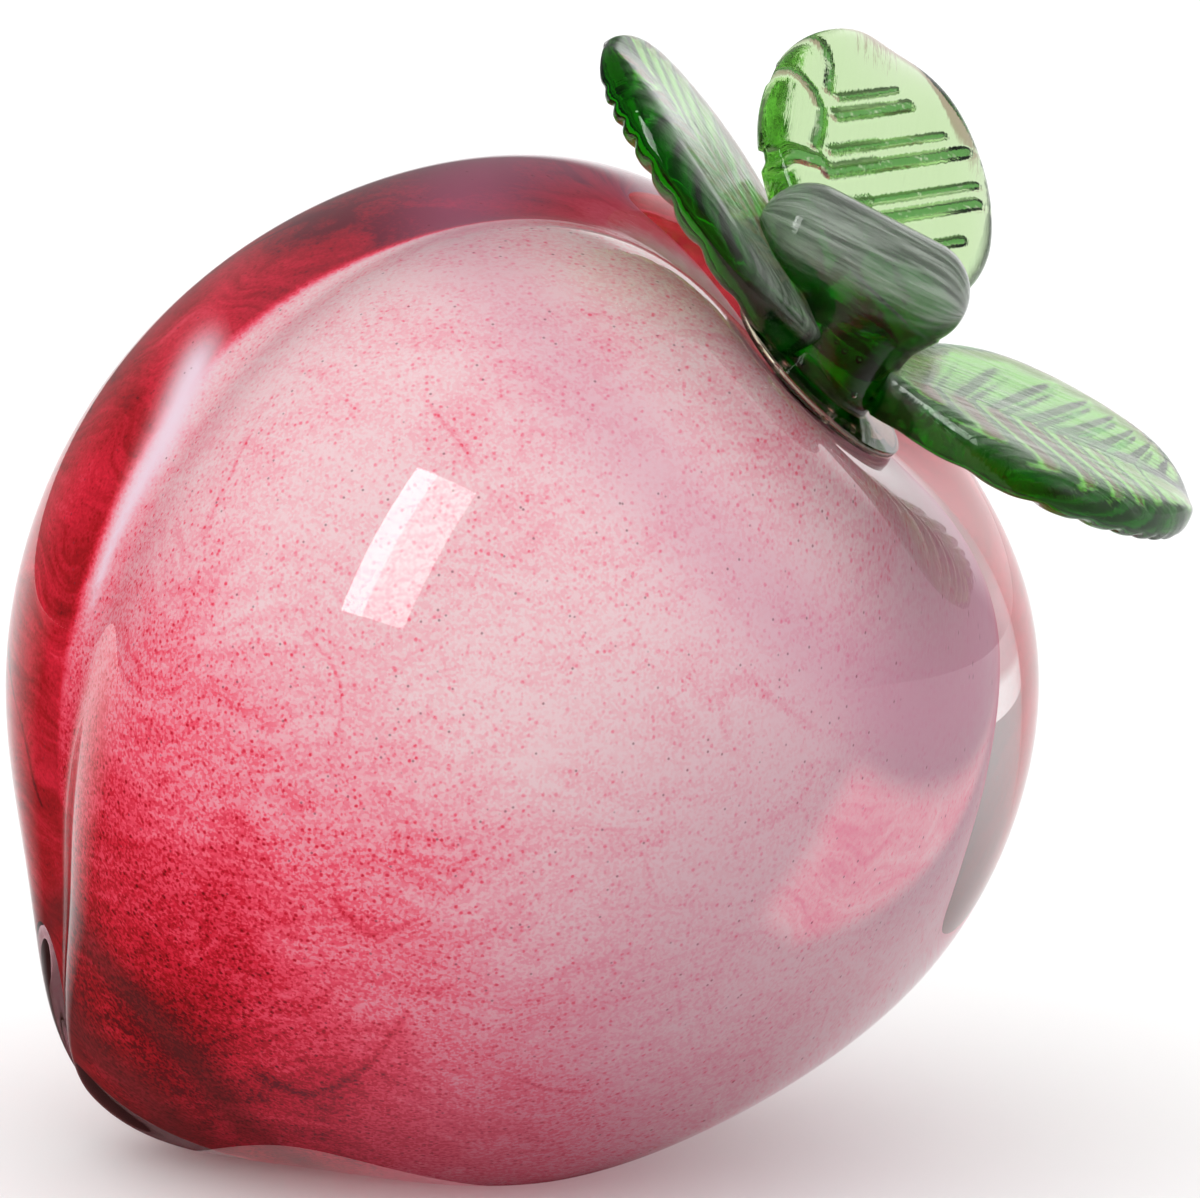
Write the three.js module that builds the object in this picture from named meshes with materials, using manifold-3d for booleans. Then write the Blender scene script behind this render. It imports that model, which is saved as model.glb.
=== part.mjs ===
// A peach of solid crystal, built as the glass is worked. A clear gather is rolled in pink and red
// powder, cased in a thick clear gather and shaped. A green stem and three pressed leaves are cemented
// into the dimple. Millimetres and degrees, +Z up. The origin is on the ground base, straight below
// the middle of the body.
import * as THREE from "three";
import { mergeVertices } from "three/addons/utils/BufferGeometryUtils.js";
import Module from "manifold-3d";

// Gap that is left between two pieces that touch
const CLEARANCE = 0.3;

// Outer form of the peach. Polar angles start at the stem, and bearings turn about the stem axis.
// A spread is the distance over the surface in which a bump or hollow fades to about a third.
const BODY_RADIUS = 38.9;
const BODY_STRETCH = 1.8; // extra radius at both ends of the stem axis
const BODY_LEAN = 44; // stem axis, from upright towards +X
const TIP_HEIGHT = 6.5;
const TIP_SPREAD = 12;
const DIMPLE_DEPTH = 10;
const DIMPLE_SPREAD = 18;
const DIMPLE_TILT = 9; // middle of the dimple, from the stem end of the body towards -Y
const CLEFT_DEPTH = 4;
const CLEFT_SPREAD = 11.6;
const CLEFT_ROUNDING = 1.5; // power of the fall-off to its sides, 2 for a round bottom
const CLEFT_RUN = 0.6; // power of the fade to its ends, smaller for a longer cleft
const CLEFT_BEARING = 203; // halfway between the stem and the tip
const CLEFT_SWEEP = 9; // the cleft swings this far to each side of that bearing on its way down
const FLANK_DEPTH = 2.7; // hollow worn by rolling the hot glass on a plate
const FLANK_SPREAD = 13.6;
const FLANK_POLAR = 109;
const BASE_GRIND = 1.6; // ground off the lowest point to make the base

// Coloured heart of the peach, with the neck that it was held by
const CASING_THICKNESS = 8.9; // mean, between the colour and the skin
const HEART_SHIFT = 7; // off the middle of the body
const HEART_POLAR = 119; // direction of the shift, into the rear lobe
const HEART_BEARING = 177;
const HEART_TIP_HEIGHT = 8;
const HEART_CLEFT_DEPTH = 4;
const COLOUR_THICKNESS = 1;
const NECK_RADIUS = 5; // outside the colour, in the dimple
const NECK_FLARE = 9; // extra radius at the foot of the neck
const NECK_SINK = 13; // foot of the neck, below the mean radius of the heart

// Bead of cement in the dimple
const BEAD_POLAR = 14; // where the bead ends on the dimple
const BEAD_EDGE = 0.6; // thickness at its edge
const BEAD_HEIGHT = 1.7; // at the stem, above its foot

// Stub of stem with a rolled head that lies across it, heights from its foot
const STEM_FOOT_RADIUS = 4.7;
const STEM_WAIST_RADIUS = 4.4;
const STEM_WAIST_HEIGHT = 5;
const STEM_FLATNESS = 0.8; // depth over width
const STEM_LEAN = 8; // towards the cleft
const STEM_FLOOR = 0.25; // cement left under the rim of the foot
const HEAD_LENGTH = 17; // from end to end
const HEAD_RADIUS = 4;
const HEAD_HEIGHT = 9.2; // of its middle
const HEAD_OVERHANG = 3.9; // of its middle, towards the cleft
const HEAD_TILT = 17; // its end over the cleft lies lower

// Pressed leaves
const LEAF_LENGTH = 26.8;
const LEAF_WIDTH = 22.5;
const LEAF_WIDEST = 0.5; // share of the length from the root to the widest point
const LEAF_THICKNESS = 3.8;
const LEAF_EDGE_ROUNDING = 12; // power of the swell across the leaf, higher for a blunter edge
const LEAF_TIP_ROUNDING = 8; // power of the thinning along the leaf, higher for a blunter tip
const LEAF_ROOT_WIDTH = 7;
const LEAF_ROOT_REACH = 3.2; // from the stem axis to the root
const LEAF_CUP = 0.3; // rise of the long edges at the widest point
const LEAF_DROOP = 1.2; // fall of the tip
const MIDRIB_DEPTH = 0.6;
const MIDRIB_SPREAD = 0.2; // share of the half width
const RIB_PITCH = 2.8;
const RIB_DEPTH = 0.6; // the ribs are pressed into the underside
const RIB_BORDER = 14; // power of the fade at the edge of the leaf, higher for a narrower plain border
const RIB_SLANT = 35; // towards the tip of the leaf, halfway along it
// Directions of the leaves about the stem, and the rise of each root as a share of the head's height
const LEAVES = [
  { name: "leaf_left", bearing: 183, lift: 15.6, roll: 0.5, rise: 0.216 },
  { name: "leaf_right", bearing: 14.5, lift: 20.7, roll: -1.2, rise: 0.357 },
  { name: "leaf_back", bearing: 114.2, lift: 29, roll: -6.1, rise: 0.548 },
];

// Fineness of the facets
const BODY_ROWS = 28;
const BODY_COLUMNS = 44;
const HEART_ROWS = 16;
const HEART_COLUMNS = 24;
const ROUND_SIDES = 24;
const CURVE_STEPS = 6;
const LEAF_SIDES = 16;
const CROWDING = 0.6; // of the columns at the cleft, from 0 for none to 1
const TIP_SHARE = 0.2; // share of a row from the last section of a leaf to its tip
const REACH_ERROR = 1e-6;
const CUT_WELD = 0.02; // vertices of a cut edge that lie closer than this become one
const SEAM_WELD = 1e-4; // the same for the seam of a closed skin

const radians = THREE.MathUtils.degToRad;
const wasm = await Module();
wasm.setup();

// Geometry with the vertices that lie closer than a distance made one, less the triangles that collapse
function weldedGeometry(geometry, distance) {
  const welded = mergeVertices(geometry, distance);
  const corners = welded.index.array;
  const kept = [];
  for (let i = 0; i < corners.length; i += 3) {
    const [a, b, c] = corners.subarray(i, i + 3);
    if (a !== b && b !== c && c !== a) kept.push(a, b, c);
  }
  return welded.setIndex(kept);
}

// Closed geometry as a solid that can be joined and cut
function solidOf(geometry) {
  const bare = geometry.clone();
  bare.deleteAttribute("normal");
  bare.deleteAttribute("uv");
  const welded = weldedGeometry(bare, SEAM_WELD);
  const vertProperties = welded.attributes.position.array;
  const triVerts = new Uint32Array(welded.index.array);
  return new wasm.Manifold(new wasm.Mesh({ numProp: 3, vertProperties, triVerts }));
}

function geometryOf(solid) {
  const mesh = solid.getMesh();
  const geometry = new THREE.BufferGeometry();
  geometry.setAttribute("position", new THREE.BufferAttribute(mesh.vertProperties, 3));
  geometry.setIndex(new THREE.BufferAttribute(mesh.triVerts, 1));
  return weldedGeometry(geometry, CUT_WELD);
}

// Closed skin over rings of points, from a first point to a last one
function skinGeometry(first, rings, last) {
  const count = rings[0].length;
  const points = [first, ...rings.flat(), last];
  const index = [];
  const at = (ring, column) => 1 + ring * count + (column % count);
  for (let column = 0; column < count; column++) {
    index.push(0, at(0, column), at(0, column + 1));
    for (let ring = 0; ring + 1 < rings.length; ring++) {
      const corner = at(ring, column);
      const across = at(ring + 1, column + 1);
      index.push(corner, at(ring + 1, column), across);
      index.push(corner, across, at(ring, column + 1));
    }
    index.push(points.length - 1, at(rings.length - 1, column + 1), at(rings.length - 1, column));
  }
  const geometry = new THREE.BufferGeometry().setFromPoints(points);
  return geometry.setIndex(index);
}

// Profile of radius and height, turned about the Z axis
function turnedGeometry(profile) {
  return new THREE.LatheGeometry(profile, ROUND_SIDES).rotateX(Math.PI / 2);
}

const bell = (distance, spread) => Math.exp(-((distance / spread) ** 2));

// Bearing of the bottom of the cleft at one polar angle
function cleftBearing(polar) {
  return radians(CLEFT_BEARING) - radians(CLEFT_SWEEP) * Math.sin(2 * polar);
}

// Depth of the cleft: it fades out at the stem and the tip, and to both sides
function cleftHollow(depth, polar, turn) {
  const aside = (BODY_RADIUS * Math.abs(turn)) / CLEFT_SPREAD;
  return depth * Math.sin(polar) ** CLEFT_RUN * Math.exp(-(aside ** CLEFT_ROUNDING));
}

// Direction from the middle of the body
function directionAt(polar, bearing) {
  const level = Math.sin(polar);
  return new THREE.Vector3(level * Math.cos(bearing), level * Math.sin(bearing), Math.cos(polar));
}

const flank = directionAt(radians(FLANK_POLAR), 0);
const dimple = directionAt(radians(DIMPLE_TILT), -Math.PI / 2);

function bodyRadius(polar, turn) {
  const direction = directionAt(polar, cleftBearing(polar) + turn);
  const tip = TIP_HEIGHT * bell(BODY_RADIUS * (Math.PI - polar), TIP_SPREAD);
  const dimpled = DIMPLE_DEPTH * bell(BODY_RADIUS * direction.angleTo(dimple), DIMPLE_SPREAD);
  const flattened = FLANK_DEPTH * bell(BODY_RADIUS * direction.angleTo(flank), FLANK_SPREAD);
  const stretch = BODY_STRETCH * Math.cos(polar) ** 2;
  return BODY_RADIUS + stretch + tip - dimpled - flattened - cleftHollow(CLEFT_DEPTH, polar, turn);
}

// Distance from the middle of the body to the floor of the dimple
const dimpleFloor = BODY_RADIUS + BODY_STRETCH * dimple.z ** 2 - DIMPLE_DEPTH;

const heartMean = BODY_RADIUS - CASING_THICKNESS;

const heartSide = directionAt(radians(HEART_POLAR), radians(HEART_BEARING));

function heartRadius(polar, turn) {
  const direction = directionAt(polar, cleftBearing(polar) + turn);
  const tip = HEART_TIP_HEIGHT * bell(BODY_RADIUS * (Math.PI - polar), TIP_SPREAD);
  const shift = HEART_SHIFT * direction.dot(heartSide);
  return heartMean + tip + shift - cleftHollow(HEART_CLEFT_DEPTH, polar, turn);
}

// Skin whose columns follow the cleft and crowd together there
function peachGeometry(rows, columns, radiusAt) {
  const pointAt = (polar, turn) =>
    directionAt(polar, cleftBearing(polar) + turn).multiplyScalar(radiusAt(polar, turn));
  const rings = [];
  for (let row = 1; row < rows; row++) {
    const ring = [];
    for (let column = 0; column < columns; column++) {
      const lap = (2 * Math.PI * column) / columns - Math.PI;
      ring.push(pointAt((Math.PI * row) / rows, lap - CROWDING * Math.sin(lap)));
    }
    rings.push(ring);
  }
  return skinGeometry(pointAt(0, 0), rings, pointAt(Math.PI, 0));
}

// Heart with its neck up to the floor of the dimple, grown by a margin and with its neck drawn out
function heartSolid(grow, drawnOut) {
  const waist = NECK_RADIUS + grow;
  const neckFoot = heartMean - NECK_SINK;
  const side = new THREE.QuadraticBezierCurve(
    new THREE.Vector2(waist + NECK_FLARE, neckFoot),
    new THREE.Vector2(waist, (neckFoot + dimpleFloor) / 2),
    new THREE.Vector2(waist, dimpleFloor),
  );
  const foot = new THREE.Vector2(0, neckFoot);
  const rim = new THREE.Vector2(waist, dimpleFloor + drawnOut);
  const top = new THREE.Vector2(0, dimpleFloor + drawnOut);
  const neck = turnedGeometry([foot, ...side.getPoints(CURVE_STEPS), rim, top]).rotateX(radians(DIMPLE_TILT));
  const ball = peachGeometry(HEART_ROWS, HEART_COLUMNS, (polar, turn) => heartRadius(polar, turn) + grow);
  return solidOf(ball).add(solidOf(neck));
}

// Radius and height of the dimple's skin above its floor, at an angle from the middle of the dimple
function dimpleAt(polar) {
  const reach = dimpleFloor + DIMPLE_DEPTH * (1 - bell(BODY_RADIUS * polar, DIMPLE_SPREAD));
  return new THREE.Vector2(reach * Math.sin(polar), reach * Math.cos(polar) - dimpleFloor);
}

// Level of the foot of the stem above the floor of the dimple
const footLevel = dimpleAt(STEM_FOOT_RADIUS / dimpleFloor).y + CLEARANCE + STEM_FLOOR;

// Stem and its rolled head, grown by a margin. The lean slides the sections and leaves the foot level.
function stemSolid(grow) {
  const side = new THREE.SplineCurve([
    new THREE.Vector2(STEM_FOOT_RADIUS + grow, -grow),
    new THREE.Vector2(STEM_WAIST_RADIUS + grow, STEM_WAIST_HEIGHT),
    new THREE.Vector2(STEM_FOOT_RADIUS + grow, HEAD_HEIGHT),
  ]);
  const foot = new THREE.Vector2(0, -grow);
  const top = new THREE.Vector2(0, HEAD_HEIGHT);
  const column = turnedGeometry([foot, ...side.getPoints(CURVE_STEPS), top])
    .scale(1, STEM_FLATNESS, 1)
    .applyMatrix4(new THREE.Matrix4().makeShear(0, 0, 0, 0, -Math.tan(radians(STEM_LEAN)), 0))
    .translate(0, 0, footLevel);
  const straight = HEAD_LENGTH - 2 * HEAD_RADIUS;
  const head = new THREE.CapsuleGeometry(HEAD_RADIUS + grow, straight, CURVE_STEPS, ROUND_SIDES)
    .rotateZ(Math.PI / 2)
    .rotateY(-radians(HEAD_TILT))
    .translate(-HEAD_OVERHANG, 0, footLevel + HEAD_HEIGHT);
  return solidOf(column).add(solidOf(head));
}

// Bead on the floor of the dimple, before room is made in it for the sprig
function beadGeometry() {
  const under = [];
  for (let step = 0; step <= CURVE_STEPS; step++) {
    const skin = dimpleAt((radians(BEAD_POLAR) * step) / CURVE_STEPS);
    under.push(skin.setY(skin.y + CLEARANCE));
  }
  const rim = under[CURVE_STEPS];
  const over = new THREE.QuadraticBezierCurve(
    new THREE.Vector2(rim.x, rim.y + BEAD_EDGE),
    new THREE.Vector2(STEM_FOOT_RADIUS, rim.y + BEAD_EDGE),
    new THREE.Vector2(0, footLevel + BEAD_HEIGHT),
  );
  return turnedGeometry([...under, ...over.getPoints(CURVE_STEPS)]);
}

// Half the width of a leaf, grown by a margin, at a distance from its root. It is a sine to the widest
// point and an ellipse from there to the tip.
function leafHalfWidth(along, grow) {
  const length = LEAF_LENGTH + grow;
  const widest = length * LEAF_WIDEST;
  const half = LEAF_WIDTH / 2 + grow;
  const root = LEAF_ROOT_WIDTH / 2 + grow;
  if (along < widest) {
    return root + (half - root) * Math.sin((Math.PI / 2) * (along / widest));
  }
  const share = Math.min(1, (along - widest) / (length - widest));
  return half * Math.sqrt(1 - share ** 2);
}

// How far a rib runs from the midrib before it meets the outline, found by halving
function ribReach(start, slope, grow) {
  let low = 0;
  let high = LEAF_WIDTH;
  while (high - low > REACH_ERROR) {
    const middle = (low + high) / 2;
    if (leafHalfWidth(start + slope * middle, grow) > middle) low = middle;
    else high = middle;
  }
  return low;
}

// Pad of a leaf along +X, lofted through sections that follow the ribs. Every second one has a groove in
// its underside.
function leafGeometry(grow) {
  const length = LEAF_LENGTH + grow;
  const rows = Math.round((2 * LEAF_LENGTH) / RIB_PITCH);
  const rings = [];
  for (let row = 0; row <= rows; row++) {
    const share = Math.min(row, rows - TIP_SHARE) / rows;
    const start = length * share;
    const slope = Math.tan(radians(RIB_SLANT)) * Math.sin(Math.PI * share);
    const reach = ribReach(start, slope, grow);
    const pressed = (row % 2) * RIB_DEPTH * Math.sin(Math.PI * share);
    const ring = [];
    for (let side = 0; side < LEAF_SIDES; side++) {
      const angle = (-2 * Math.PI * side) / LEAF_SIDES;
      const across = Math.cos(angle);
      const swell = (1 - across ** LEAF_EDGE_ROUNDING) * (1 - share ** LEAF_TIP_ROUNDING);
      const bulge = (LEAF_THICKNESS / 2 + grow) * Math.sqrt(swell);
      const midrib = MIDRIB_DEPTH * share * bell(across, MIDRIB_SPREAD);
      const dip = angle < -Math.PI ? 0 : pressed * (1 - across ** RIB_BORDER) + midrib;
      const y = reach * across;
      const x = start + slope * Math.abs(y);
      const bend = LEAF_CUP * ((2 * y) / LEAF_WIDTH) ** 2 - LEAF_DROOP * (x / length) ** 2;
      const skin = Math.sign(Math.sin(angle)) * Math.max(bulge - dip, 0);
      ring.push(new THREE.Vector3(x, y, bend + skin));
    }
    rings.push(ring);
  }
  const root = new THREE.Vector3(0, 0, 0);
  const tip = new THREE.Vector3(length, 0, -LEAF_DROOP);
  return skinGeometry(root, rings, tip);
}

// The leaf turned to its bearing, lift and roll about the stem
function placeLeaf(geometry, leaf) {
  const turn = new THREE.Euler(radians(leaf.roll), -radians(leaf.lift), radians(leaf.bearing), "ZYX");
  const matrix = new THREE.Matrix4().makeRotationFromEuler(turn);
  const bearing = radians(leaf.bearing);
  matrix.setPosition(
    LEAF_ROOT_REACH * Math.cos(bearing),
    LEAF_ROOT_REACH * Math.sin(bearing),
    footLevel + leaf.rise * HEAD_HEIGHT,
  );
  return geometry.applyMatrix4(matrix);
}

function addPiece(group, name, geometry, look) {
  const piece = new THREE.Mesh(geometry, new THREE.MeshStandardMaterial(look));
  piece.name = name;
  group.add(piece);
}

const clearLook = { color: 0xe9e4e6, roughness: 0.03, metalness: 0, transparent: true, opacity: 0.4 };
const colourLook = { color: 0xd8506a, roughness: 0.35, metalness: 0 };
const leafLook = { color: 0x3f8f2e, roughness: 0.06, metalness: 0 };
const stemLook = { color: 0x1d4a22, roughness: 0.08, metalness: 0 };
const beadLook = { color: 0xb9a67c, roughness: 0.1, metalness: 0, transparent: true, opacity: 0.6 };

// The body leans over and is lowered until the grind reaches the lowest point of its skin
const bodySkin = peachGeometry(BODY_ROWS, BODY_COLUMNS, bodyRadius);
const body = new THREE.Group();
body.rotation.y = radians(BODY_LEAN);
body.updateMatrix();
const leaning = bodySkin.clone().applyMatrix4(body.matrix);
leaning.computeBoundingBox();
body.position.z = -leaning.boundingBox.min.z - BASE_GRIND;
body.updateMatrix();

const waste = new THREE.BoxGeometry(2 * BODY_RADIUS, 2 * BODY_RADIUS, BODY_RADIUS)
  .translate(0, 0, -BODY_RADIUS / 2)
  .applyMatrix4(body.matrix.clone().invert());
const casing = solidOf(bodySkin).subtract(heartSolid(CLEARANCE, DIMPLE_DEPTH)).subtract(solidOf(waste));
const colour = heartSolid(0, 0).subtract(heartSolid(-COLOUR_THICKNESS, DIMPLE_DEPTH));
const core = heartSolid(-COLOUR_THICKNESS - CLEARANCE, 0);
addPiece(body, "clear_casing", geometryOf(casing), clearLook);
addPiece(body, "colour_layer", geometryOf(colour), colourLook);
addPiece(body, "clear_core", geometryOf(core), clearLook);

// The sprig stands on the floor of the dimple
const sprig = new THREE.Group();
sprig.position.copy(dimple).multiplyScalar(dimpleFloor);
sprig.rotation.x = radians(DIMPLE_TILT);
let taken = stemSolid(CLEARANCE);
addPiece(sprig, "stem", geometryOf(stemSolid(0)), stemLook);
for (const leaf of LEAVES) {
  const pad = solidOf(placeLeaf(leafGeometry(0), leaf)).subtract(taken);
  addPiece(sprig, leaf.name, geometryOf(pad), leafLook);
  taken = taken.add(solidOf(placeLeaf(leafGeometry(CLEARANCE), leaf)));
}
const bead = solidOf(beadGeometry()).subtract(taken);
addPiece(sprig, "seat_bead", geometryOf(bead), beadLook);
body.add(sprig);

const peach = new THREE.Group();
peach.add(body);
export default peach;
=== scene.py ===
# %% [markdown]
# # A crystal peach
# This lesson dresses a small glass ornament: a peach of clear crystal with a pink and red heart, and a
# sprig of green glass set in the dimple at its top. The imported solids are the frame. They fix where each
# piece sits and how large it is, so everything below is in metres in that same frame, with +Z up and the
# ground base on the floor.

# %% Load the frame
import bpy
import numpy as np
from mathutils import Matrix, Vector


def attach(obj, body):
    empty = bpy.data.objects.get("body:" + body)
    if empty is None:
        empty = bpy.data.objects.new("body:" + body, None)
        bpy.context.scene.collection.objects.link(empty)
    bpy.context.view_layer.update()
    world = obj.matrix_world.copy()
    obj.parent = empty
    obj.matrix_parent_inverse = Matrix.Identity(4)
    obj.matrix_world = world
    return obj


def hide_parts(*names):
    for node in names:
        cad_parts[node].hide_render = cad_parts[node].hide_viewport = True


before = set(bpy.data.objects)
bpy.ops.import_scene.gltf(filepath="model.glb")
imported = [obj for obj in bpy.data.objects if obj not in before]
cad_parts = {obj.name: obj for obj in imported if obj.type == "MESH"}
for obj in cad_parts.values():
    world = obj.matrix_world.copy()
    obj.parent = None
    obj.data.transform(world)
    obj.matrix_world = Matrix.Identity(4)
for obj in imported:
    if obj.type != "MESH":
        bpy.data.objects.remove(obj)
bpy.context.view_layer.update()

scene = bpy.context.scene
scene.view_settings.view_transform = "Standard"
MM = 0.001
print("nodes:", sorted(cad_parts))

# %% [markdown]
# ## The camera
# The picture was taken with a long lens from a little above, so the outlines hardly converge. A long
# lens 580 mm away gives the same calm perspective. The peach stands left of the middle of the picture and
# below it, and the lens shift moves the frame by that much without tilting the camera.

# %% Set up the camera
BODY_MIDDLE = np.array([0.0, 0.0, 38.004]) * MM
PHOTO_WIDTH, FOCAL_PIXELS = 1200, 7598
SHIFT_RIGHT, SHIFT_UP = 76.5, 67.3
ELEVATION = np.radians(11)
DISTANCE = 580 * MM

right = np.array([1.0, 0.0, 0.0])
up = np.array([0.0, np.sin(ELEVATION), np.cos(ELEVATION)])
toward = np.array([0.0, -np.cos(ELEVATION), np.sin(ELEVATION)])

lens = bpy.data.cameras.new("long_lens")
lens.sensor_fit = "HORIZONTAL"
lens.sensor_width = 36
lens.lens = lens.sensor_width * FOCAL_PIXELS / PHOTO_WIDTH
lens.shift_x = SHIFT_RIGHT / PHOTO_WIDTH
lens.shift_y = SHIFT_UP / PHOTO_WIDTH
lens.clip_start = 10 * MM
camera = bpy.data.objects.new("camera", lens)
camera.location = BODY_MIDDLE + DISTANCE * toward
camera.rotation_euler = (np.pi / 2 - ELEVATION, 0, 0)
scene.collection.objects.link(camera)
scene.camera = camera
print(f"lens {lens.lens:.0f} mm")

# %% [markdown]
# ## Tools
# A few small tools serve every piece. One turns the hex colour that a paint program shows into the linear
# numbers that light is added up in. One adds a shader node of any kind, sets its inputs and links it.

# %% Colours and nodes
def linear(code):
    """sRGB hex to linear: divide by 12.92 near black, else ((c + 0.055) / 1.055) to the power 2.4."""
    c = np.array([int(code[i : i + 2], 16) for i in (1, 3, 5)]) / 255
    lit = np.where(c <= 0.04045, c / 12.92, ((c + 0.055) / 1.055) ** 2.4)
    return (*lit.tolist(), 1.0)


def node(tree, kind, settings=None, **inputs):
    """Add a node of any kind. Inputs go by name with _ for a space, or by place as i0, i1. A node that is
    given as an input is linked by its first output. Stops are a colour ramp's positions and colours."""
    made = tree.nodes.new("ShaderNode" + kind)
    settings = dict(settings or {})
    stops = settings.pop("stops", [])
    for position, _ in stops[1:-1]:
        made.color_ramp.elements.new(position)
    for index, (position, colour) in enumerate(stops):
        made.color_ramp.elements[index].position = position
        made.color_ramp.elements[index].color = colour
    for name, value in settings.items():
        setattr(made, name, value)
    for name, value in inputs.items():
        place = int(name[1:]) if name[0] == "i" and name[1:].isdigit() else name.replace("_", " ")
        socket = made.inputs[place]
        value = value.outputs[0] if isinstance(value, bpy.types.Node) else value
        if isinstance(value, bpy.types.NodeSocket):
            tree.links.new(value, socket)
        else:
            socket.default_value = value
    return made


def material(name):
    """An empty material and its node tree."""
    made = bpy.data.materials.new(name)
    made.use_nodes = True
    made.node_tree.nodes.clear()
    return made, made.node_tree


PLUS, MINUS, TIMES = {"operation": "ADD"}, {"operation": "SUBTRACT"}, {"operation": "MULTIPLY"}
LARGER, TIMES_PLUS = {"operation": "MAXIMUM"}, {"operation": "MULTIPLY_ADD"}
WHAT_IS_LEFT = {**MINUS, "use_clamp": True}
SOFT = {"interpolation_type": "SMOOTHSTEP"}
print("white is", linear("#ffffff"))

# %% [markdown]
# Every piece is a grid of points closed into a skin: each row of the grid is a ring, and a single point
# closes each end. A grid keeps all the geometry in whole arrays, with no loop over vertices, and a number
# per point can be stored on it for a material to read.

# %% Skins
def skin(name, *shells):
    """Closed mesh of one or more shells. A shell is a first point, rings (rows, columns, 3) and a last
    point: quads join the rings, and a fan closes each end."""
    points, faces = np.zeros((0, 3)), []
    for first, rings, last in shells:
        rows, columns = rings.shape[:2]
        start = len(points)
        end = start + rows * columns + 1
        at = start + 1 + np.arange(rows * columns).reshape(rows, columns)
        nxt = np.roll(at, -1, axis=1)
        quads = np.stack([at[:-1], at[1:], nxt[1:], nxt[:-1]], -1).reshape(-1, 4)
        faces += np.stack([np.full(columns, start), at[0], nxt[0]], -1).tolist() + quads.tolist()
        faces += np.stack([np.full(columns, end), nxt[-1], at[-1]], -1).tolist()
        points = np.concatenate([points, [first], rings.reshape(-1, 3), [last]])
    mesh = bpy.data.meshes.new(name)
    mesh.from_pydata(points.tolist(), [], faces)
    mesh.shade_smooth()
    piece = bpy.data.objects.new(name, mesh)
    scene.collection.objects.link(piece)
    print(f"{name}: {len(points)} points")
    return piece


def paint(piece, name, first, rings, last):
    """Store one number per point of the first shell for a material to read by name, and 0 on the others."""
    values = np.zeros(len(piece.data.vertices), np.float32)
    values[: rings.size + 2] = np.concatenate([[first], rings.reshape(-1), [last]])
    piece.data.attributes.new(name, "FLOAT", "POINT").data.foreach_set("value", values)


def lap_of(columns):
    """Bearings of one ring, evenly spaced once round."""
    return np.linspace(0, 2 * np.pi, columns, endpoint=False)[None, :]


# %% [markdown]
# ## The form of the peach
# A peach is a ball with four changes: a little length along the stem axis, a pointed tip, a dimple round
# the stem and a cleft from one to the other. One flank is flat where the hot glass was rolled on a plate.
# It could be sculpted, but here the distance from the middle of the body is one smooth function of the
# direction, so the heart inside can follow the same form. Each change fades out over the surface in a
# bell curve, and the cleft in a similar curve with a sharper bottom. The numbers are those of the solids,
# in millimetres and degrees.

# %% Distance to the surface
BODY_RADIUS, BODY_STRETCH, BODY_LEAN = 38.9, 1.8, 44
TIP_HEIGHT, TIP_SPREAD = 6.5, 12
DIMPLE_DEPTH, DIMPLE_SPREAD, DIMPLE_TILT = 10, 18, 9
CLEFT_DEPTH, CLEFT_SPREAD, CLEFT_ROUNDING, CLEFT_RUN = 4, 11.6, 1.5, 0.6
CLEFT_BEARING, CLEFT_SWEEP = 203, 9
FLANK_DEPTH, FLANK_SPREAD, FLANK_POLAR = 2.7, 13.6, 109


def turn_about(axis, degrees):
    """Matrix that turns points about one axis by the right-hand rule."""
    c, s = np.cos(np.radians(degrees)), np.sin(np.radians(degrees))
    i, j = {"x": (1, 2), "y": (2, 0), "z": (0, 1)}[axis]
    matrix = np.eye(3)
    matrix[i, i] = matrix[j, j] = c
    matrix[i, j], matrix[j, i] = -s, s
    return matrix


def bell(distance, spread):
    """1 in the middle, falling to about a third at the spread."""
    return np.exp(-((distance / spread) ** 2))


def angle_between(direction, axis):
    """Arc cosine of the dot product of two unit vectors."""
    return np.arccos(np.clip(direction @ axis, -1, 1))


def direction_at(polar, bearing):
    """Unit vector at an angle from +Z and a bearing about it from +X."""
    level = np.sin(polar)
    return np.stack([level * np.cos(bearing), level * np.sin(bearing), np.cos(polar) + 0 * bearing], -1)


def polar_and_turn(direction):
    """Angle from the stem axis, and the bearing counted from the bottom of the cleft."""
    polar = angle_between(direction, np.array([0, 0, 1]))
    cleft = np.radians(CLEFT_BEARING) - np.radians(CLEFT_SWEEP) * np.sin(2 * polar)
    turn = np.arctan2(direction[..., 1], direction[..., 0]) - cleft
    return polar, (turn + np.pi) % (2 * np.pi) - np.pi


def cleft_hollow(depth, polar, turn):
    """Depth of the cleft: it fades out at the stem and the tip, and to both sides."""
    aside = BODY_RADIUS * np.abs(turn) / CLEFT_SPREAD
    return depth * np.sin(polar) ** CLEFT_RUN * np.exp(-(aside**CLEFT_ROUNDING))


DIMPLE = direction_at(np.radians(DIMPLE_TILT), np.radians(-90))
FLANK = direction_at(np.radians(FLANK_POLAR), np.radians(0))
DIMPLE_FLOOR = BODY_RADIUS + BODY_STRETCH * DIMPLE[2] ** 2 - DIMPLE_DEPTH
LEAN = turn_about("y", BODY_LEAN)


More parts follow.
